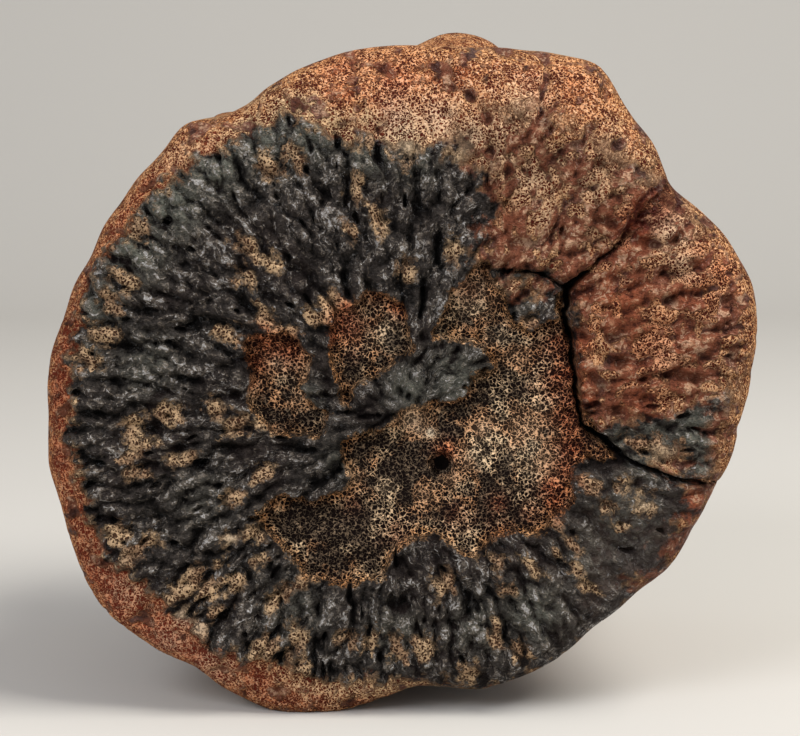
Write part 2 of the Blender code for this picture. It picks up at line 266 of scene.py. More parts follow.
def flank_swell(angle, y):
    """Height of the broken stubs and keels above the waisted flank."""
    height = np.zeros(angle.shape)
    for centre, reach, rise, middle, half_length in FLANK_SWELLS:
        along = hump(y - middle, half_length)
        height += rise * hump(turn_from(angle, centre), reach) * along
    return height


def ridges(x, z, spacing, reach, seed):
    """Radial ridges: noise smeared along the radius, so its lumps become ridges."""
    out_x = x - RIDGE_CENTRE[0]
    out_z = z - RIDGE_CENTRE[1]
    away = np.maximum(np.hypot(out_x, out_z), 4)
    total = np.zeros(x.shape)
    smears = np.linspace(-0.5, 0.5, 7)
    for smear in smears:
        scale = 1 + smear * reach / away
        here = np.stack([RIDGE_CENTRE[0] + out_x * scale, RIDGE_CENTRE[1] + out_z * scale,
                         np.zeros(x.shape)], axis=1)
        total += lattice_noise(here, spacing * 0.62, seed)
    return 1.9 * total / len(smears)


def wander(x, z):
    """Points moved a little by noise, so that an outline read at them has a ragged edge."""
    flat = np.stack([x, np.zeros(x.shape), z], axis=1)
    return (x + POCKET_WANDER * lattice_noise(flat, WANDER_SIZE, seed=11),
            z + POCKET_WANDER * lattice_noise(flat, WANDER_SIZE, seed=12))


def pocket_depth_inside(x, z):
    """How far inside the nearest spongy pocket each point is, and below 0 on the crust."""
    moved_x, moved_z = wander(x, z)
    deepest = np.full(x.shape, -np.inf)
    for outline in (LEFT_POCKET, MIDDLE_POCKET, MAIN_POCKET):
        deepest = np.maximum(deepest, depth_inside(moved_x, moved_z, outline))
    return np.minimum(deepest, -depth_inside(moved_x, moved_z, CRUST_ISLAND))


def crust_depth_inside(x, z):
    """How far inside the crust's outer outline each point is, with radial teeth along it."""
    teeth = ridges(x, z, TOOTH_SPACING, TOOTH_REACH, seed=27)
    return depth_inside(*wander(x, z), CRUST_OUTLINE) + FRINGE * teeth


def crack_field(x, z, route):
    """Distance to a crack's path, and the crack's half width and depth at the nearest place."""
    px, pz, width, depth = np.array(route, dtype=float).T
    nearest = np.full(x.shape, np.inf)
    half = np.zeros(x.shape)
    deep = np.zeros(x.shape)
    for i in range(len(px) - 1):
        run_x, run_z = px[i + 1] - px[i], pz[i + 1] - pz[i]
        along = ((x - px[i]) * run_x + (z - pz[i]) * run_z) / (run_x ** 2 + run_z ** 2)
        along = np.clip(along, 0, 1)
        gap = np.hypot(x - px[i] - along * run_x, z - pz[i] - along * run_z)
        closer = gap < nearest
        nearest = np.where(closer, gap, nearest)
        half = np.where(closer, (width[i] + along * (width[i + 1] - width[i])) / 2, half)
        deep = np.where(closer, depth[i] + along * (depth[i + 1] - depth[i]), deep)
    return nearest, half, deep


def knobs(x, z, size, stretch, seed):
    """Rounded knobs with sharp creases between them, drawn out along the radius.

    Each cell of a square lattice has one centre, jittered. The height is 1 there and falls
    with the square of the distance to the nearest centre, whose part along the radius is
    divided by the stretch, and its mean is about 0.
    """
    jitter = np.random.default_rng(seed).uniform(0.1, 0.9, size=(64, 64, 2))
    out_x, out_z = x - RIDGE_CENTRE[0], z - RIDGE_CENTRE[1]
    away = np.maximum(np.hypot(out_x, out_z), 1)
    out_x, out_z = out_x / away, out_z / away
    cell_x, cell_z = np.floor(x / size).astype(int), np.floor(z / size).astype(int)
    nearest = np.full(x.shape, np.inf)
    for step_x, step_z in product((-2, -1, 0, 1, 2), repeat=2):
        near_x, near_z = cell_x + step_x, cell_z + step_z
        shift = jitter[near_x % 64, near_z % 64]
        gap_x = near_x + shift[:, 0] - x / size
        gap_z = near_z + shift[:, 1] - z / size
        along = (gap_x * out_x + gap_z * out_z) / stretch
        across = gap_x * out_z - gap_z * out_x
        nearest = np.minimum(nearest, along ** 2 + across ** 2)
    return np.maximum(1 - 3.1 * stretch * nearest, -1.6)


def calm(x, z):
    """How smooth the crust is, from 0 to 1: only its lower right part lies calm."""
    return hump(np.hypot(x - CALM_CENTRE[0], z - CALM_CENTRE[1]), CALM_REACH)


def crest_height(x, z):
    """Height of the crust's ridges over its mean.

    Broad ridges, plus knobs of two sizes whose strength changes slowly from place to place,
    plus small noise, less deep pits where one more ridged noise is highest. Crests are eased
    off at CREST_LIMIT. The points are first moved by slow noise, so no ridge runs straight.
    """
    flat = np.stack([x, np.zeros(x.shape), z], axis=1)
    strength = 0.95 + 0.5 * lattice_noise(flat, 19, seed=28) - 0.5 * calm(x, z)
    x = x + 1.8 * lattice_noise(flat, 11, seed=24)
    z = z + 1.8 * lattice_noise(flat, 11, seed=25)
    pits = step(ridges(x, z, 5, 3.5, seed=26) - 0.85, 0.4)
    crest = (RIDGE_HEIGHT * ridges(x, z, RIDGE_SPACING, RIDGE_REACH, seed=5)
            + strength * (KNOB_HEIGHT * knobs(x, z, KNOB_SIZE, KNOB_STRETCH, seed=21)
                          + SMALL_KNOB_HEIGHT * knobs(x, z, SMALL_KNOB_SIZE,
                                                      SMALL_KNOB_STRETCH, seed=22))
            + 0.4 * lattice_noise(flat, 3, seed=29)
            + 0.35 * lattice_noise(flat, 1.3, seed=23) - PIT_DEPTH * pits)
    return np.where(crest > 0, CREST_LIMIT * np.tanh(crest / CREST_LIMIT), crest)


def dimples(x, z):
    """Soft hollows of the rim and of the mauve crust, from 0 to 1 at the bottom."""
    flat = np.stack([x, np.zeros(x.shape), z], axis=1)
    return step(lattice_noise(flat, DIMPLE_SIZE, seed=32) - 0.4, 0.6)


def front_relief(x, z):
    """Height of the front face's crust, ridges, pockets and cracks above its plain form."""
    flat = np.stack([x, np.zeros(x.shape), z], axis=1)
    crest = crest_height(x, z)
    upper_right = step(depth_inside(x, z, MAUVE_OUTLINE) + 8, 16)
    crust = step(crust_depth_inside(x, z) + 0.5 * crest + 3 * upper_right,
                 CRUST_EDGE + 11 * upper_right)
    pocket = step(pocket_depth_inside(x, z) - 0.7 * crest, POCKET_EDGE)
    height = crust * (1 - pocket) * (CRUST_RISE + crest * (1 - 0.3 * upper_right))
    height += pocket * (0.5 * lattice_noise(flat, 5, seed=31) - POCKET_DEPTH)
    brown = np.maximum(1 - crust, upper_right)
    height += (1 - crust) * 0.3 * lattice_noise(flat, 3.2, seed=33)
    height -= DIMPLE_DEPTH * brown * dimples(x, z)
    for route in (MAIN_CRACK, HAIR_CRACK):
        gap, half, deep = crack_field(*ragged(x, z), route)
        height -= deep * step(half - gap, np.minimum(2 * half, CRACK_WALL))
    return height - BASIN_HOLE_DEPTH * step(basin_hole_inside(x, z) + 1, 2)


def basin_hole_inside(x, z):
    """How far inside the hole in the basin's floor each point is."""
    x, z = ragged(x, z)
    return BASIN_HOLE_RADIUS - np.hypot(x - BASIN_HOLE[0], z - BASIN_HOLE[1])


def ragged(x, z):
    """Points moved by fine noise, which makes a crack's path ragged."""
    flat = np.stack([x, np.zeros(x.shape), z], axis=1)
    return (x + 0.9 * lattice_noise(flat, 6, seed=41) + 0.45 * lattice_noise(flat, 2, seed=42),
            z + 0.9 * lattice_noise(flat, 6, seed=43) + 0.45 * lattice_noise(flat, 2, seed=44))


def rear_relief(x, z, angle, out):
    """Height of the rear face's crust, ridges and worn patch above its plain form."""
    crest = REAR_RIDGE_SHARE * crest_height(-x, z)
    crust = step(rear_radius(angle) - REAR_CRUST_MARGIN - out + 0.8 * crest, CRUST_EDGE)
    patch = step(rear_patch_inside(x, z) - 0.7 * crest, POCKET_EDGE)
    return crust * (1 - patch) * (CRUST_RISE + crest) - patch * REAR_PATCH_DEPTH


def rear_patch_inside(x, z):
    """How far inside the rear face's worn patch each point is: a circle whose radius swings
    twice and three times round, with a ragged edge."""
    x, z = wander(x, z)
    from_patch = np.hypot(x - REAR_PATCH_CENTRE[0], z - REAR_PATCH_CENTRE[1])
    around = np.arctan2(z - REAR_PATCH_CENTRE[1], x - REAR_PATCH_CENTRE[0])
    swing = np.sin(2 * around + 1) + 0.6 * np.sin(3 * around)
    return REAR_PATCH_RADIUS + REAR_PATCH_SWING * swing - from_patch


def square_ring(across, up):
    """The angle in degrees and the share of the way out of points on a square grid: the share
    is the larger of their sizes, and the angle goes evenly along each side of that ring."""
    size = np.maximum(np.abs(across), np.abs(up))
    sideways = np.abs(across) >= np.abs(up)
    angle = np.where(sideways, 45 * up / np.where(np.abs(across) > 0, across, 1),
                     90 - 45 * across / np.where(np.abs(up) > 0, up, 1))
    return np.where(np.where(sideways, across, up) < 0, angle + 180, angle) % 360, size


def bone_surface(across, up, along):
    """Where each point of the bone's grid lies, in millimetres.

    across and up run from -1 to 1 and give the angle and the share of the way out to the
    flank. along is 0 on the front face and 1 on the rear one, and runs between them on the
    flank.
    """
    angle, size = square_ring(across, up)
    front = along == 0
    rear = along == 1

    front_out, front_back, front_tilt = round_face(angle, size, front_radius(angle))
    rear_out, rear_back, rear_tilt = round_face(angle, size, rear_radius(angle))
    y = along * (DEPTH - rear_back) + (1 - along) * front_back - DEPTH / 2
    out = front_out + step(along - 0.5, 1) * (rear_out - front_out)
    out -= WAIST * np.sin(np.pi * along) ** 2
    tilt = np.where(rear, rear_tilt, front_tilt)
    out += np.sin(tilt) * flank_swell(angle, y)

    turned = np.radians(angle)
    x = out * np.cos(turned)
    z = out * np.sin(turned) + AXIS_HEIGHT
    relief = LUMP_HEIGHT * lattice_noise(np.stack([x, y, z], axis=1), LUMP_SIZE, seed=2)
    relief[front] += np.cos(tilt[front]) * front_relief(x[front], z[front])
    relief[rear] += np.cos(tilt[rear]) * rear_relief(x[rear], z[rear], angle[rear], out[rear])
    facing = np.where(rear, 1, -1) * np.cos(tilt)
    z += relief * np.sin(tilt) * np.sin(turned)
    return np.stack([x + relief * np.sin(tilt) * np.cos(turned), y + relief * facing,
                     np.maximum(z, 0)], axis=1)


def bone_grid():
    """The closed grid: a square of points for each end face, and rings round the flank.

    Returns the points' grid coordinates, their places and the quads. The square's border is
    both faces' first flank ring, so the three grids share their seams.
    """
    line = np.linspace(-1, 1, FACE_CELLS + 1)
    across, up = np.meshgrid(line, line)
    square = np.arange(across.size).reshape(across.shape)
    border = np.concatenate([square[0, :-1], square[:-1, -1], square[-1, :0:-1],
                             square[:0:-1, 0]])
    across, up = across.ravel(), up.ravel()
    shares = np.arange(1, FLANK_CELLS) / FLANK_CELLS
    ring_across = np.tile(across[border], len(shares))
    ring_up = np.tile(up[border], len(shares))
    ring_along = np.repeat(shares, len(border))
    grid = np.stack([np.concatenate([across, ring_across, across]),
                     np.concatenate([up, ring_up, up]),
                     np.concatenate([np.zeros(across.size), ring_along,
                                     np.ones(across.size)])], axis=1)
    rear = across.size + len(ring_along)
    middle = across.size + np.arange(len(ring_along)).reshape(len(shares), len(border))
    rings = np.vstack([border, middle, rear + border])
    onward = np.roll(rings, -1, axis=1)
    flank = np.stack([rings[:-1], rings[1:], onward[1:], onward[:-1]], axis=-1).reshape(-1, 4)
    face = np.stack([square[:-1, :-1], square[:-1, 1:], square[1:, 1:], square[1:, :-1]],
                    axis=-1).reshape(-1, 4)
    return grid, bone_surface(*grid.T), np.concatenate([face, flank, rear + face[:, ::-1]])


def grid_mesh(name, places, quads):
    """A mesh from whole arrays of points in millimetres and of quads."""
    mesh = bpy.data.meshes.new(name)
    mesh.vertices.add(len(places))
    mesh.vertices.foreach_set("co", (places * MM).ravel())
    mesh.loops.add(quads.size)
    mesh.loops.foreach_set("vertex_index", quads.ravel())
    mesh.polygons.add(len(quads))
    mesh.polygons.foreach_set("loop_start", np.arange(0, quads.size, 4))
    mesh.update(calc_edges=True)
    return mesh


def thinned(mesh, triangles):
    """The mesh with flat stretches thinned until it has so many triangles.

    A vertex's weight says how freely it may go: the front face's are held back a little.
    """
    places = np.empty(3 * len(mesh.vertices))
    mesh.vertices.foreach_get("co", places)
    front = places[1::3] < FINE_UP_TO * MM
    thing = bpy.data.objects.new("thinning", mesh)
    bpy.context.scene.collection.objects.link(thing)
    freely = thing.vertex_groups.new(name="freely")
    freely.add(np.flatnonzero(front).tolist(), 0.9, "REPLACE")
    freely.add(np.flatnonzero(~front).tolist(), 1.0, "REPLACE")
    thin = thing.modifiers.new("thin", "DECIMATE")
    thin.ratio = triangles / (2 * len(mesh.polygons))
    thin.vertex_group = "freely"
    thin.vertex_group_factor = 0.002
    seen = thing.evaluated_get(bpy.context.evaluated_depsgraph_get())
    result = bpy.data.meshes.new_from_object(seen)
    bpy.data.objects.remove(thing)
    return result


MAP_FACE_REACH = 110            # from an end face's middle to its edge, along the surface
MAP_FRONT = (0.375, 0.622, 0.362)       # middle and radius of the front face's disc
MAP_REAR = (0.87, 0.86, 0.12)
MAP_STRIP = (0.984, 0.02, -0.968, 0.2)  # corner, way across and height of the flank's strip


def add_bake_map(mesh):
    """A texture map with lengths along the surface kept: the front face a large disc, the
    rear face a small one, and the flank a strip below both.

    deep is the way along the surface from the front face's edge: below 0 on that face, and
    over DEPTH on the rear one.
    """
    grid = np.empty(3 * len(mesh.vertices))
    mesh.attributes["grid"].data.foreach_get("vector", grid)
    across, up, along = grid.reshape(-1, 3).T
    angle, size = square_ring(across, up)
    deep = along * DEPTH + np.where(along < 0.5, size - 1, 1 - size) * MAP_FACE_REACH

    corners = np.empty(len(mesh.loops), dtype=np.int32)
    mesh.loops.foreach_get("vertex_index", corners)
    starts = np.empty(len(mesh.polygons), dtype=np.int32)
    mesh.polygons.foreach_get("loop_start", starts)
    counts = np.diff(np.append(starts, len(corners)))
    angle, deep = angle[corners], deep[corners]
    middle = np.repeat(np.add.reduceat(deep, starts) / counts, counts)
    first = np.repeat(angle[starts], counts)
    turned = first + turn_from(angle, first)

    spots = np.stack([MAP_STRIP[0] + MAP_STRIP[2] * turned / 360,
                      MAP_STRIP[1] + MAP_STRIP[3] * deep / DEPTH], axis=1)
    for chosen, (middle_u, middle_v, radius), out, side in (
            (middle < 0, MAP_FRONT, MAP_FACE_REACH + deep, 1),
            (middle > DEPTH, MAP_REAR, MAP_FACE_REACH + DEPTH - deep, -1)):
        share = out / MAP_FACE_REACH
        disc = np.stack([middle_u + side * radius * share * np.cos(np.radians(angle)),
                         middle_v + radius * share * np.sin(np.radians(angle))], axis=1)
        spots[chosen] = disc[chosen]
    mesh.uv_layers.new(name="OFBake").data.foreach_set("uv", spots.ravel())
    mesh.attributes.remove(mesh.attributes["grid"])


bone_points, bone_places, bone_quads = bone_grid()
bone_mesh = grid_mesh("bone_grid", bone_places, bone_quads)
grid_field = bone_mesh.attributes.new("grid", "FLOAT_VECTOR", "POINT")
grid_field.data.foreach_set("vector", bone_points.ravel())
bone_mesh = thinned(bone_mesh, KEPT_TRIANGLES)
add_bake_map(bone_mesh)
bone_mesh.name = "fossil_bone"
bone_mesh.shade_smooth()
bone = bpy.data.objects.new("fossil_bone", bone_mesh)
bpy.context.scene.collection.objects.link(bone)


# What each point of the surface is, for the material: signed distances into the zones in
# millimetres, heights, and soft fields from 0 to 1.
# Bare tan patches where the crust's crests have worn through: (x, height, radius)
WORN_PATCHES = (
    (-61, 83, 2.6), (-70, 79, 2.8), (-69, 75, 2), (-71, 71, 2), (-69, 66, 2), (-57, 71, 2),
    (-43, 79, 2.6), (-49, 84, 2), (-76, 51, 2.4), (-66, 49, 2.6), (-71, 45, 3), (-56, 38, 3.6),
    (-51, 35, 3), (-32, 33, 2.6), (-43, 38, 2), (-38, 51, 2.6), (-26, 39, 2.4), (-28, 23, 2),
    (-37, 18, 3.4), (-26, 13, 2.4), (-9, 21, 2), (-14, 22, 2), (-40, 126, 2.4), (-33, 123, 2),
    (-41, 118, 2), (-36, 109, 2.4), (-30, 104, 2.6), (-72, 118, 2), (-69, 131, 3),
    (-75, 112, 2.6), (-78, 104, 3), (-11, 142, 2.4), (-6, 134, 2.2), (-13, 130, 1.8),
    (-17, 112, 2.4), (-22, 108, 2.4), (-34, 148, 3.2), (-28, 150, 2.4), (-83, 97, 3),
    (-45, 104, 2.2), (2, 120, 2.2), (13, 126, 2), (64, 57, 1.6), (55, 58, 1.4), (50, 63, 1.8),
    (59, 64, 1.6), (64, 62, 1.4), (46, 48, 1.5), (42, 44, 1.2), (46, 41, 1.7), (58, 53, 1.5),
    (41, 53, 1.8), (35, 41, 1.8), (12, 37, 2.4), (25, 44, 1.5), (28, 35, 1.2), (26, 23, 2),
    (32, 19, 2.4), (6, 19, 2.6), (0, 19, 2), (50, 36, 2), (62, 37, 2), (18, 12, 2.6),
    (65, 75, 3.2), (71, 71, 3), (-36, 80, 2), (-36, 68, 2), (-44, 60, 2), (-45, 49, 1.6),
    (-46, 47, 1.1), (-59, 29, 2.2), (-56, 26, 1.9), (-52, 25, 1.4), (-62, 33, 1.6),
    (-49, 29, 1.4), (-47, 43, 1.1), (-37, 43, 1.4), (-32, 32, 1.4), (-27, 21, 1.6),
    (-31, 17, 1.6), (-35, 21, 1.4), (2, 151, 2.6), (0, 154, 2.8), (5, 154, 2.2), (-7, 154, 2),
    (14, 152, 2), (33, 107, 1.6),
)
# Brown smooth patches in the black crust, as (x, height, radius)
BROWN_PATCHES = (
    (84, 60, 6), (80, 52, 5), (74, 44, 5), (88, 72, 4), (66, 36, 3.5), (78, 60, 3), (72, 70, 2.5),
    (87, 80, 4), (29, 117, 3), (34, 117, 2.5), (38, 117, 2),
)
# Paler grey scuffed crust, as (x, height, reach, strength)
SCUFFS = (
    (-70, 126, 9, 1), (-60, 138, 9, 1), (-48, 148, 8, 1), (-34, 154, 8, 0.9), (-22, 156, 7, 0.9),
    (-78, 112, 6, 0.9), (-8, 150, 6, 0.7), (4, 149, 6, 0.6), (-82, 98, 4, 0.6), (66, 74, 8, 1),
    (78, 78, 8, 0.9), (58, 76, 4, 0.8), (60, 55, 12, 0.5), (50, 45, 10, 0.4), (-25, 87, 4, 1),
    (14, 92, 8, 0.9), (2, 90, 6, 0.9), (-30, 30, 10, 0.4), (36, 30, 9, 0.7), (-16, 70, 5, 0.6),
    (0, 22, 9, 0.5), (20, 25, 9, 0.5), (82, 69, 6, 0.9), (-52, 60, 9, 0.3), (-66, 96, 8, 0.5),
    (30, 115, 6, 0.4),
)
# Rust-red stains, as (x, height, reach, strength)
RUST_STAINS = (
    (-36, 101, 5, 1), (-30, 99, 5, 1), (-37, 95, 3, 0.8), (-39, 90, 3, 0.6), (-18, 103, 3, 1),
    (-14, 108, 4, 0.9), (-1, 110, 3, 0.8), (-7, 113, 4, 0.6), (-12, 101, 4, 0.4),
    (12, 72, 3, 1.1), (44, 81, 5, 1), (45, 73, 5, 1), (46, 88, 4, 0.7), (42, 92, 4, 0.5),
    (41, 62, 5, 1), (44, 67, 4, 1), (36, 56, 4, 0.5), (26, 51, 4, 0.35), (37, 100, 4, 0.3),
    (42, 101, 3, 0.5), (21, 119, 3, 0.5), (17, 115, 4, 0.45), (-1, 50, 4, 0.4), (-13, 58, 3, 0.3),
    (62, 130, 5, 0.9), (68, 137, 5, 0.9), (59, 127, 3, 0.7), (50, 111, 3, 0.5), (49, 100, 2, 0.8),
    (50, 86, 2, 0.8), (49, 105, 2, 0.6), (78, 124, 5, 0.5), (84, 120, 5, 0.6), (77, 58, 4, 0.6),
    (79, 73, 3, 0.5), (53, 72, 2, 0.4), (46, 101, 4, 0.9), (45, 93, 5, 1), (45, 86, 5, 1),
    (45, 78, 4, 1), (44, 68, 4, 1), (41, 59, 4, 1), (-14, 106, 5, 1.2), (-14, 110, 3, 1),
    (-34, 100, 5, 1), (-38, 96, 4, 1), (-48, 21, 2, 0.9), (59, 133, 4, 1.0), (62, 137, 3, 1.0),
    (42, 100, 6, 0.9), (42, 90, 6, 0.9), (18, 115, 4, 0.7), (26, 58, 3, 0.5), (16, 54, 4, 0.5),
    (-14, 174, 9, 0.4), (-1, 171, 9, 0.4), (44, 167, 8, 0.3), (57, 113, 11, 0.6),
    (67, 100, 12, 0.6), (78, 115, 9, 0.5), (63, 88, 9, 0.5), (26, 135, 5, 0.3),
)
# Dark mineral in the open cells, and cells left clean and pale, as (x, height, reach, strength)
DARK_FILLS = (
    (-36, 85, 5, 0.4), (-26, 81, 6, 0.6), (-22, 87, 3, 0.6), (-13, 93, 5, 0.7), (-14, 86, 4, 0.7),
    (-10, 97, 3, 0.7), (-1, 102, 4, 0.4), (14, 80, 5, 0.8), (11, 68, 3, 1.4), (1, 68, 8, 0.9),
    (-7, 72, 6, 0.7), (26, 60, 7, 0.9), (32, 54, 4, 0.7), (20, 62, 4, 0.5), (37, 75, 3, 0.7),
    (31, 90, 4, 0.5), (21, 93, 4, 0.3), (14, 113, 4, 0.2), (17, 107, 3, 0.3), (-15, 51, 7, 0.8),
    (-25, 53, 6, 0.8), (-19, 43, 5, 0.7), (-8, 46, 5, 0.7), (-33, 54, 3, 0.7), (10, 57, 4, 0.6),
    (5, 53, 3, 0.5), (24, 101, 3, 0.6), (28, 68, 3, 0.4),
)
PALE_CELLS = (
    (3, 81, 4, 1.3), (8, 77, 1.5, 2.6), (5, 78, 2, 1.2), (22, 78, 3, 0.8), (34, 77, 7, 0.6),
    (38, 70, 5, 0.6), (18, 70, 4, 0.5), (-13, 65, 3, 0.7), (-24, 94, 3, 0.6), (31, 97, 4, 0.4),
    (25, 102, 3, 0.5), (-13, 105, 3, 0.4), (0, 86, 2, 0.6), (6, 60, 3, 0.5), (14, 65, 3, 0.5),
    (-4, 62, 3, 0.4), (-34, 76, 3, 0.5), (-40, 88, 2, 0.4), (70, 131, 6, 0.8), (74, 122, 4, 0.7),
    (60, 118, 3, 0.4), (70, 98, 6, 0.3), (0, 159, 6, 0.9), (2, 152, 3, 1.0), (10, 159, 6, 0.9),
    (18, 155, 5, 0.8), (26, 157, 6, 0.5), (32, 163, 7, 0.4), (26, 149, 6, 0.5), (34, 144, 6, 0.5),
    (42, 148, 5, 0.3), (49, 143, 6, 0.4), (38, 135, 4, 0.4), (53, 152, 6, 0.3), (59, 144, 6, 0.3),
    (48, 130, 4, 0.3), (62, 130, 5, 0.3), (18, 113, 6, 0.6), (26, 117, 4, 0.6), (-33, 96, 4, 0.4),
    (-26, 86, 4, 0.4), (-12, 107, 4, 0.4), (-4, 103, 4, 0.4), (-72, 35, 6, 0.4),
    (-62, 21, 6, 0.4), (-50, 14, 6, 0.5), (-77, 43, 5, 0.3), (-45, 49, 2, 1.4), (-58, 28, 3, 0.9),
    (-53, 25, 2, 0.8), (64, 59, 2, 0.9), (69, 72, 3, 0.7), (21, 43, 2, 0.6),
)


def spread(x, z, spots):
    """The strongest of several bells, each at its own place with its own reach."""
    most = np.zeros(x.shape)
    for spot_x, spot_z, reach, strength in spots:
        most = np.maximum(most, strength * hump(np.hypot(x - spot_x, z - spot_z), reach))
    return most


def patch_inside(x, z, patches):
    """How far inside the nearest of several patches each point is, drawn out along the
    radius by the same stretch as the knobs."""
    deepest = np.full(x.shape, -20.0)
    for patch_x, patch_z, radius in patches:
        out_x, out_z = patch_x - RIDGE_CENTRE[0], patch_z - RIDGE_CENTRE[1]
        away = np.hypot(out_x, out_z)
        along = ((x - patch_x) * out_x + (z - patch_z) * out_z) / away
        across = ((x - patch_x) * out_z - (z - patch_z) * out_x) / away
        deepest = np.maximum(deepest, radius - np.hypot(along / 1.5, across))
    return deepest


def surface_fields(places, normals):
    """The material's fields at each point: one whole array for each name."""
    x, y, z = places.T
    front = y < -DEPTH / 4
    side_x = np.where(front, x, -x)
    angle = np.degrees(np.arctan2(z - AXIS_HEIGHT, x)) % 360
    out = np.hypot(x, z - AXIS_HEIGHT)
    facing = np.abs(normals[:, 1])
    crest = crest_height(side_x, z)
    rear_crust = rear_radius(angle) - REAR_CRUST_MARGIN - out
    spill = 7 * step(x - 10, 30) * step(62 - z, 20)     # black over the rim, lower right
    crust = np.where(front, crust_depth_inside(x, z) + spill, rear_crust)
    on_face = np.abs(y) > DEPTH / 2 - 30
    near_front = y < -DEPTH / 2 + 22
    lower_left = step(-x - 35, 70) * step(150 - z, 60)
    pocket = np.where(front, pocket_depth_inside(x, z), rear_patch_inside(x, z))
    crack = basin_hole_inside(x, z)
    for route in (MAIN_CRACK, HAIR_CRACK):
        gap, half, _ = crack_field(*ragged(x, z), route)
        crack = np.maximum(crack, half - gap)
    gully_x, gully_z = x - GULLY_CENTRE[0], z - GULLY_CENTRE[1]
    gully = hump(np.hypot((gully_x + gully_z) / GULLY_STRETCH, gully_x - gully_z), GULLY_REACH)
    return {
        "crest": crest,
        "crust": np.where(on_face, crust, -20),
        "pocket": np.where(on_face, pocket, -20),
        "mauve": np.where(front, np.maximum(depth_inside(*wander(x, z), MAUVE_OUTLINE),
                                            patch_inside(*wander(x, z), BROWN_PATCHES)), -20),
        "calm": np.where(front, calm(x, z), 0),
        "scuff": np.where(front, spread(x, z, SCUFFS), 0),
        "dimple": np.where(front, dimples(x, z), 0),
        "worn": np.where(front, patch_inside(*wander(x, z), WORN_PATCHES), -20),
        "rust": np.where(front, spread(x, z, RUST_STAINS), 0),
        "dark": np.where(front, spread(x, z, DARK_FILLS), 0),
        "pale": np.where(front, spread(x, z, PALE_CELLS), 0),
        "crack": np.where(near_front, crack, -20),
        "gully": np.where(near_front, gully, 0),
        "rim_red": np.where(front, lower_left, 0.5),
        "facing": facing,
    }


places = np.empty(3 * len(bone_mesh.vertices))
bone_mesh.vertices.foreach_get("co", places)
normals = np.empty(3 * len(bone_mesh.vertices))
bone_mesh.vertices.foreach_get("normal", normals)
bone_fields = surface_fields(places.reshape(-1, 3) / MM, normals.reshape(-1, 3))
for name, values in bone_fields.items():
    bone_mesh.attributes.new(name, "FLOAT", "POINT").data.foreach_set(
        "value", values.astype(np.float32))


def linear(hex_colour):
    """An sRGB hex colour as linear red, green, blue and alpha."""
    parts = np.array([int(hex_colour[i:i + 2], 16) for i in (0, 2, 4)]) / 255
    return (*np.where(parts <= 0.04045, parts / 12.92, ((parts + 0.055) / 1.055) ** 2.4), 1.0)


def node_adder(tree):
    """A function that adds one node to a tree, from its kind, settings and inputs.

    The inputs are values, hex colours or other nodes' outputs, by socket or in the sockets'
    own order. The function returns the wanted output.
    """
    def add(kind, settings, inputs, output=0):
        made = tree.nodes.new("ShaderNode" + kind)
        for name, value in settings.items():
            setattr(made, name, value)
        by_socket = inputs if isinstance(inputs, dict) else dict(enumerate(inputs))
        for socket, value in by_socket.items():
            if isinstance(value, bpy.types.NodeSocket):
                tree.links.new(value, made.inputs[socket])
            else:
                made.inputs[socket].default_value = (
                    linear(value) if isinstance(value, str) else value)
        return made.outputs[output]
    return add


# Settings that many of the material's nodes share
SMOOTH = {"interpolation_type": "SMOOTHSTEP"}
COLOURS = {"data_type": "RGBA"}
TIMES = {"operation": "MULTIPLY"}
TIMES_PLUS = {"operation": "MULTIPLY_ADD"}
LESS = {"operation": "SUBTRACT"}
LARGER = {"operation": "MAXIMUM"}

PORE_PITCH = 1.12               # from one open cell to the next in the pockets
RIM_PORE_PITCH = 0.86           # and in the denser bone of the rim
CRUMB_PITCH = 1.5               # from one crumb of the black crust to the next
GRAIN_SIZE = 0.7                # mineral grains on the struts and the skin
WARP_SIZE = 10 / 11             # noise that bends the cells out of line, and how far
WARP_REACH = (1.5, 1.5, 1.5)
SWIRL_SIZE = 3.5                # noise that bends the streaks, and how far
SWIRL_REACH = (5, 5, 5)
STREAK_SIZE = 0.9               # width of a streak in the crust
STREAKS_ROUND = (55, 55, 55)    # how finely the streaks divide the round
STREAK_DRAW = 0.5               # how much slower they change along themselves


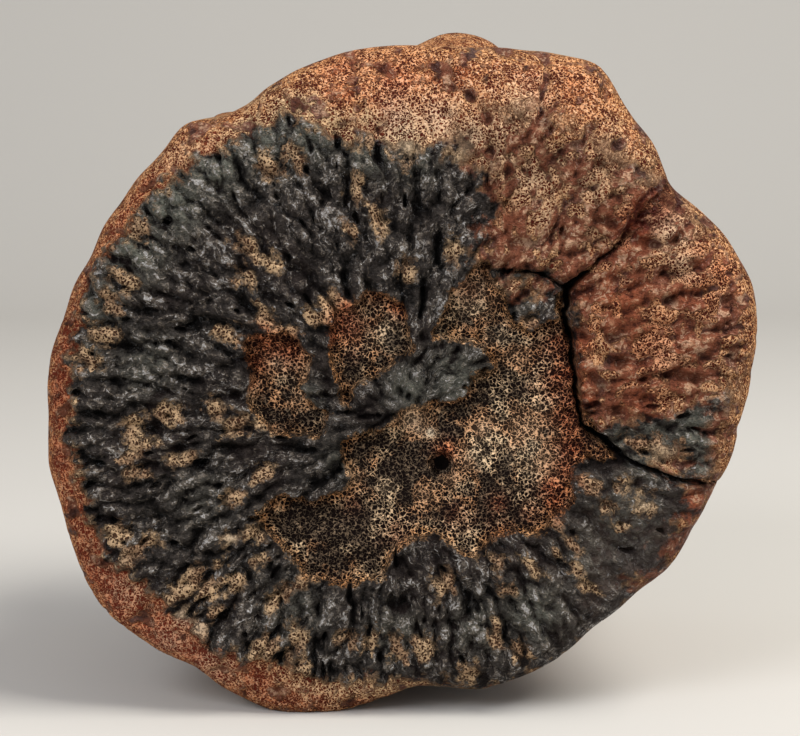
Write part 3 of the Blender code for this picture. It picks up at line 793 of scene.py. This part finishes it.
def fossil_bone_material(field_names):
    """Mineralised bone in its four finishes, mixed by the surface's own fields.

    Crust: black iron and manganese minerals over ridged bone, matt with a few glossy
    facets and painted glints, darker in its creases and lighter on its crests by painted
    shade, and scuffed to grey and tan on the knobs. Mauve crust: the same with little
    black mineral, and painted shade in its soft hollows. Spongy bone: matt tan to red struts
    round open cells, the cells dark partly with mineral and partly with painted shade.
    Cortex: smooth brown outer bone.
    """
    stone = bpy.data.materials.new("mineralised_bone")
    stone.use_nodes = True
    tree = stone.node_tree
    shader = tree.nodes["Principled BSDF"]
    add = node_adder(tree)

    def weighted(start, terms):
        """The start value plus each term's value times its weight."""
        for value, weight in terms:
            start = add("Math", TIMES_PLUS, (value, weight, start))
        return start

    def painted(ground, layers):
        """The ground colour with layers over it, each a share and a colour.

        A share is a value from 0 to 1, or a value, the two limits between which it eases,
        and the shares at those limits where they aren't 0 and 1.
        """
        for share, over in layers:
            if isinstance(share, tuple):
                share = add("MapRange", SMOOTH, share)
            ground = add("Mix", COLOURS, {0: share, 6: ground, 7: over}, 2)
        return ground

    place = add("VectorMath", {"operation": "SCALE"},
                {0: add("TexCoord", {}, {}, "Object"), "Scale": 1 / MM})
    field = {name: add("Attribute", {"attribute_name": name}, {}, "Fac")
             for name in field_names}
    rust, dark, pale = field["rust"], field["dark"], field["pale"]
    crest, scuff, dimple = field["crest"], field["scuff"], field["dimple"]

    # Noises, as (size, detail, roughness), and the same about 0
    edge_noise, tint, broad, patchy, lump = (
        add("TexNoise", {}, {"Vector": place, "Scale": 1 / size, "Detail": detail,
                             "Roughness": roughness})
        for size, detail, roughness in (
            (2.0, 3, 0.65), (8, 2, 0.55), (24, 1, 0.55), (4.5, 2, 0.55), (2.2, 3, 0.6)))
    warp = add("VectorMath", TIMES_PLUS,
               (add("TexNoise", {}, {"Vector": place, "Scale": 1 / WARP_SIZE, "Detail": 1}, 1),
                WARP_REACH, place))
    grain = add("TexNoise", {}, {"Vector": warp, "Scale": 1 / GRAIN_SIZE, "Detail": 2,
                                 "Roughness": 0.6})

    # Streaks: noise of the direction from the ridges' centre, drawn out along the radius on
    # the faces and along the length on the flank
    swirl = add("VectorMath", TIMES_PLUS,
                (add("TexNoise", {}, {"Vector": place, "Scale": 1 / SWIRL_SIZE, "Detail": 1}, 1),
                 SWIRL_REACH, warp))
    from_axis = add("VectorMath", TIMES_PLUS,
                    (swirl, (1, 0, 1), (-RIDGE_CENTRE[0], 0, -RIDGE_CENTRE[1])))
    outward = add("VectorMath", {"operation": "LENGTH"}, (from_axis,), 1)
    back = add("VectorMath", {"operation": "DOT_PRODUCT"}, (swirl, (0, 1, 0)), 1)
    drawn = add("Math", TIMES, (add("Math", {"operation": "ADD"}, (outward, back)), STREAK_DRAW))
    streak_at = add("VectorMath", TIMES_PLUS,
                    (add("VectorMath", {"operation": "NORMALIZE"}, (from_axis,)), STREAKS_ROUND,
                     add("CombineXYZ", {}, {"Y": drawn})))
    streak = add("TexNoise", {}, {"Vector": streak_at, "Scale": 1 / STREAK_SIZE, "Detail": 3,
                                  "Roughness": 0.6})

    # Crumbs of the crust: the distance to the nearest centre of warped cells, each with a
    # tone of its own
    crumb = add("TexVoronoi", {}, {"Vector": warp, "Scale": 1 / CRUMB_PITCH})
    crumb_tone = crumb.node.outputs["Color"]
    wobble, swing, bulge, speck, crumb_swing = (
        add("Math", LESS, (noise, 0.5)) for noise in (edge_noise, patchy, lump, grain, crumb_tone))

    # Zones, with edges moved by noise. The crust fades out gently where it is mauve.
    mauve_depth = weighted(field["mauve"], ((swing, 10.0), (wobble, 8.0)))
    mauve = add("MapRange", SMOOTH, (mauve_depth, -1.6, 1.6))
    crust_depth = weighted(field["crust"], ((swing, 9.0), (wobble, 6.0)))
    fade = add("MapRange", SMOOTH, (field["mauve"], -8.0, 6.0, 1.0, 9.0))
    crust = add("MapRange", SMOOTH,
                (add("Math", {"operation": "DIVIDE"}, (crust_depth, fade)), -1.0, 1.0))
    black_share = add("Math", TIMES, (crust, add("Math", LESS, (1.0, mauve))))
    in_pocket = add("Math", TIMES, (
        add("MapRange", SMOOTH, (weighted(field["pocket"], ((wobble, 4.5),)), -0.4, 0.4)),
        add("MapRange", SMOOTH, (crust_depth, 0.0, 1.0))))

    # Where the cells lie open: a pocket, most of the rim, half of the mauve crust, and worn
    # knobs of the black crust with loose flecks round them
    worn_depth = weighted(-3.6, ((field["rim_red"], 0.6),))
    worn_depth = add("Math", LARGER, (field["worn"], worn_depth))
    worn_depth = add("Math", LARGER, (
        worn_depth, add("MapRange", SMOOTH, (field["crust"], 1.0, 9.0, -0.8, -6.0))))
    worn_depth = weighted(worn_depth, ((crest, 0.8), (wobble, 4.0), (crumb_swing, 2.4)))
    worn_black = add("MapRange", SMOOTH, (worn_depth, -0.6, 1.2))
    bare = weighted(0.7, ((lump, 0.4), (patchy, -0.6), (pale, 0.2), (crest, 0.04),
                          (dimple, -0.22), (crust, -0.12),
                          (crust, add("Math", LESS, (tint, 0.52)))))
    open_share = add("Mix", {}, {
        0: black_share, 2: add("MapRange", SMOOTH, (bare, 0.47, 0.57)), 3: worn_black})
    open_share = add("Mix", {}, {0: in_pocket, 2: open_share, 3: 1.0})

    # Open cells: the distance to the nearest wall between warped cells, less the struts'
    # half width
    pitch = add("Mix", {}, {0: add("Math", LARGER, (in_pocket, black_share)),
                            2: 1 / RIM_PORE_PITCH, 3: 1 / PORE_PITCH})
    wall = add("TexVoronoi", {"feature": "DISTANCE_TO_EDGE"}, {"Vector": warp, "Scale": pitch})
    strut_width = add("Mix", {}, {
        0: in_pocket, 2: add("Mix", {}, {0: black_share, 2: 0.12, 3: 0.15}), 3: 0.062})
    strut_width = weighted(strut_width, (
        (bulge, 0.3), (swing, add("Mix", {}, {0: in_pocket, 2: 0.25, 3: 0.0})),
        (speck, add("Mix", {}, {0: in_pocket, 2: 0.4, 3: 0.2})), (pale, 0.03)))
    pore = add("Math", TIMES, (
        add("MapRange", SMOOTH, (add("Math", LESS, (wall, strut_width)), -0.05, 0.06)),
        open_share))

    # Struts of the spongy bone: at the rim, in the pockets, and where the crust has worn
    bright = add("MapRange", SMOOTH, (grain, 0.35, 0.65))
    near_crust = add("MapRange", SMOOTH, (weighted(crust_depth, ((tint, 14.0),)), -2.0, 5.0))
    for share in (add("MapRange", SMOOTH, (field["mauve"], -12.0, -2.0, 0.8, 0.2)),
                  add("MapRange", SMOOTH, (field["rim_red"], 0.0, 0.8, 1.0, 0.1))):
        near_crust = add("Math", TIMES, (near_crust, share))
    rim_red = painted("762E12", (((lump, 0.35, 0.65), "A64C26"),))
    rim = painted("A4542A", (
        ((tint, 0.38, 0.62), "D2905E"),
        ((broad, 0.42, 0.6), "C07E4C"),
        ((lump, 0.5, 0.7, 0.0, 0.4), "D6AA84"),
        ((grain, 0.48, 0.34, 0.0, 0.55), "7E4028"),
        ((grain, 0.55, 0.7, 0.0, 0.5), "EAC8AC"),
        (add("Math", TIMES, (field["rim_red"],
                             add("MapRange", SMOOTH, (tint, 0.3, 0.7, 1.0, 0.6)))), rim_red),
        ((field["facing"], 0.85, 0.45, 0.0, 0.5), "C28A50"),
        (near_crust, "C0A27A"),
        ((crust, 0.3, 1.0, 0.0, 0.6), "9C7450")))
    near_edge = weighted(field["pocket"], ((patchy, 8.0),))
    filled = add("Math", TIMES, (
        add("MapRange", SMOOTH, (weighted(patchy, ((add("Math", LESS, (dark, pale)), 0.34),)),
                                 0.5, 0.68)),
        add("MapRange", SMOOTH, (field["pocket"], 0.5, 3.0, 0.3))))
    pocket = painted("DEA272", (
        ((tint, 0.4, 0.6), "F4D2A8"),
        ((near_edge, 3.5, 7.5, 0.7, 0.0), "D48E4C"),
        (filled, "4A3C32")))
    worn = painted("7E6048", (((tint, 0.4, 0.6), "AE906E"),))
    strut = painted(rim, (
        (black_share, worn), (in_pocket, pocket),
        (add("Math", TIMES, (rust, 0.9)), painted("A8421E", ((bright, "EC9060"),))),
        (add("Math", TIMES, (pale, 0.5)), "E0CBAE"),
        (add("Math", TIMES, (bright, add("MapRange", SMOOTH, (rust, 0.2, 0.8, 0.22, 0.08)))),
         "E4C49C")))

    # The open cells themselves: painted shade in the deep pores, partly dark mineral, and the
    # struts' colour where they are clean
    clean = add("Mix", {}, {
        0: in_pocket, 2: add("Mix", {}, {0: black_share, 2: 0.0, 3: 0.8}), 3: 0.1})
    hole = painted("3E0E07", (
        ((patchy, 0.44, 0.58, 0.1, 0.7), "743C24"),
        (add("Math", TIMES, (field["rim_red"], 0.5)), "702C1A"),
        # painted shade: the pores near black in the deep pockets
        (black_share, "3A2518"), (in_pocket, "0E0503"),
        (add("Math", TIMES, (rust, 0.8)), "220703"),
        (add("Math", TIMES, (pale, clean)), strut)))

    # Closed skin: black crust from its creases to its crests, or brown to mauve, each darker
    # in the creases and lighter on the crests as painted shade, and each with fine pale frost
    # and painted glints on what stands out
    # shade: random tone plus painted shade, darker in creases and between crumbs, lighter on
    # crests
    shade = weighted(0.145, ((lump, 0.35), (crumb_tone, 0.15), (crumb, -0.1), (crest, 0.085),
                             (streak, 0.36), (swing, 0.35), (scuff, 0.05)))
    # fine pale flecks on what stands out, and at its top stage painted glints
    frost_and_glint = weighted(-0.23, ((streak, 0.8), (shade, 0.6), (swing, 0.3), (field["calm"], -0.06)))
    calm_skin = painted("463C38", (((tint, 0.4, 0.6), "5A4A42"),))
    black = painted("0E0B09", (
        ((shade, 0.38, 0.66), "3A3430"),
        ((shade, 0.64, 0.82), "6E665E"),
        ((broad, 0.45, 0.62, 0.0, 0.35), "2A1E1C"),
        (add("Math", TIMES, (field["calm"], 0.55)), calm_skin),
        (add("Math", TIMES, (scuff, add("MapRange", SMOOTH, (shade, 0.42, 0.7, 0.0, 0.5)))),
         "828678"),
        ((frost_and_glint, 0.54, 0.66, 0.0, 0.45), "857869"),
        # painted glints: bluish white specks on the crests of the crust
        ((frost_and_glint, 0.66, 0.72, 0.0, 0.55), "BEBCBA")))
    red_skin = painted("4A160C", (((shade, 0.36, 0.66), "A0502F"),))
    brown = painted("3A1E15", (
        ((shade, 0.36, 0.6), "744430"),
        ((shade, 0.6, 0.8), "B68A6A"),
        (add("Math", TIMES, (rust, 0.7)), red_skin),
        ((tint, 0.5, 0.66, 0.0, 0.35), "66504A"),
        ((frost_and_glint, 0.6, 0.68, 0.0, 0.6), "BE987A"),
        # painted shade: darker brown in the soft hollows
        (add("Math", TIMES, (dimple, add("MapRange", SMOOTH, (crust, 0.2, 0.8, 0.3, 0.6)))),
         "341C13")))

    # All of it together, with cortex on the flank, and the cracks and the basin's hole painted
    # near black as shade or filled with rust
    cortex = painted("8A6041", (
        ((tint, 0.3, 0.7), "B48A5E"),
        ((broad, 0.45, 0.65), "6E4B36")))
    on_face = add("MapRange", SMOOTH, (weighted(field["facing"], ((broad, 0.3),)), 0.2, 0.35))
    gully = field["gully"]
    crack_and_hole_shade = add("Math", TIMES, (
        add("MapRange", SMOOTH, (field["crack"], -0.1, 0.4)),
        add("MapRange", SMOOTH, (weighted(gully, ((lump, 0.8),)), 0.65, 1.0, 1.0, 0.15))))
    spongy = painted(strut, ((pore, hole),))
    skin = painted(brown, ((black_share, black),))
    faces = painted(skin, ((open_share, spongy),))
    colour = painted(cortex, (
        (on_face, faces),
        (add("Math", TIMES, (gully, add("MapRange", SMOOTH, (lump, 0.4, 0.62, 1.0, 0.5)))),
         "44150D"),
        # painted shade: the cracks and the basin's hole near black
        (crack_and_hole_shade, "0A0402")))

    # Relief too fine for the mesh, in millimetres
    skin_height = add("Math", TIMES, (
        weighted(0.0, ((streak, 2.2), (lump, 4.2), (crumb, -1.0))),
        add("Mix", {}, {0: black_share, 2: 0.6, 3: 1.0})))
    height = add("Mix", {}, {
        0: open_share, 2: skin_height, 3: weighted(0.0, ((grain, 0.5), (pore, -0.8)))})
    bump = add("Bump", {}, {"Height": height, "Distance": MM})

    gloss = add("MapRange", SMOOTH, (streak, 0.46, 0.56))
    for share in (add("MapRange", SMOOTH, (patchy, 0.42, 0.55)),
                  add("Math", LESS, (1.0, open_share)),
                  add("Mix", {}, {0: black_share, 2: 0.25, 3: 1.0})):
        gloss = add("Math", TIMES, (gloss, share))
    for socket, value in (("Base Color", colour), ("Coat Weight", gloss),
                          ("Roughness", add("Mix", {}, {0: open_share, 2: 0.6, 3: 0.9})),
                          ("Normal", bump), ("Coat Normal", bump)):
        tree.links.new(value, shader.inputs[socket])
    shader.inputs["Coat Roughness"].default_value = 0.12
    shader.inputs["IOR"].default_value = 1.5
    shader.inputs["Specular IOR Level"].default_value = 0.1
    return stone


bone_mesh.materials.append(fossil_bone_material(bone_fields))
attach(bone, "root")
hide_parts("vertebra")

# ---------------------------------------------------------------------------------------
# The floor and backdrop: one pale sheet of paper, laid flat and swept up behind.
# Its surface is matt, so it shows nothing but soft light and the bone's soft shadow.
# ---------------------------------------------------------------------------------------


def sweep_sheet():
    """A sheet whose profile runs flat to the back, turns up on an arc and rises."""
    turn = np.radians(np.linspace(0, 90, 25))
    profile = np.concatenate([[(-1500, 0)], np.stack([900 + 500 * np.sin(turn),
                                                      500 * (1 - np.cos(turn))], axis=1),
                              [(1400, 2600)]])
    sides = np.array([-2200.0, 2200.0])
    places = np.array([(side, y, z) for y, z in profile for side in sides])
    rows = np.arange(len(profile) - 1) * 2
    return places, np.stack([rows, rows + 1, rows + 3, rows + 2], axis=1)


sheet = bpy.data.objects.new("paper_sheet", grid_mesh("paper_sheet", *sweep_sheet()))
sheet.data.shade_smooth()
bpy.context.scene.collection.objects.link(sheet)
paper = bpy.data.materials.new("matt_paper")
paper.use_nodes = True
paper.node_tree.nodes["Principled BSDF"].inputs["Base Color"].default_value = linear("C2BFB8")
paper.node_tree.nodes["Principled BSDF"].inputs["Roughness"].default_value = 0.9
sheet.data.materials.append(paper)

# ---------------------------------------------------------------------------------------
# Light and camera: a soft lamp high on the right, a weak fill from the left, a pale room.
# The camera looks straight at the front face from half a metre off, a little downwards.
# ---------------------------------------------------------------------------------------


def add_lamp(name, place, aim, size, watts, colour):
    """A square soft lamp at a place, turned to face what it lights."""
    lamp = bpy.data.lights.new(name, "AREA")
    lamp.shape = "SQUARE"
    lamp.size = size * MM
    lamp.energy = watts
    lamp.color = linear(colour)[:3]
    thing = bpy.data.objects.new(name, lamp)
    thing.location = Vector(place) * MM
    thing.rotation_euler = (Vector(aim) - Vector(place)).to_track_quat("-Z", "Y").to_euler()
    bpy.context.scene.collection.objects.link(thing)


add_lamp("soft_lamp", (720, -330, 1250), (0, 0, 80), 720, 24, "FFFCF8")
add_lamp("fill_lamp", (-700, -900, 900), (0, 0, 80), 600, 10, "F4F6FF")
room = bpy.data.worlds.new("pale_room")
room.use_nodes = True
room.node_tree.nodes["Background"].inputs["Color"].default_value = linear("E8E8EC")
room.node_tree.nodes["Background"].inputs["Strength"].default_value = 0.57
bpy.context.scene.world = room
bpy.context.scene.view_settings.view_transform = "Standard"

CAMERA_AIM = (-0.1, -42, 92.9)
CAMERA_DISTANCE = 520
CAMERA_PITCH = 8                # degrees down
lens = bpy.data.cameras.new("camera")
lens.lens = 87
lens.sensor_width = 36
lens.clip_end = 20
camera = bpy.data.objects.new("camera", lens)
pitch = np.radians(CAMERA_PITCH)
looking = Vector((0, np.cos(pitch), -np.sin(pitch)))
camera.location = (Vector(CAMERA_AIM) - CAMERA_DISTANCE * looking) * MM
camera.rotation_euler = (np.pi / 2 - pitch, 0, 0)
bpy.context.scene.collection.objects.link(camera)
bpy.context.scene.camera = camera
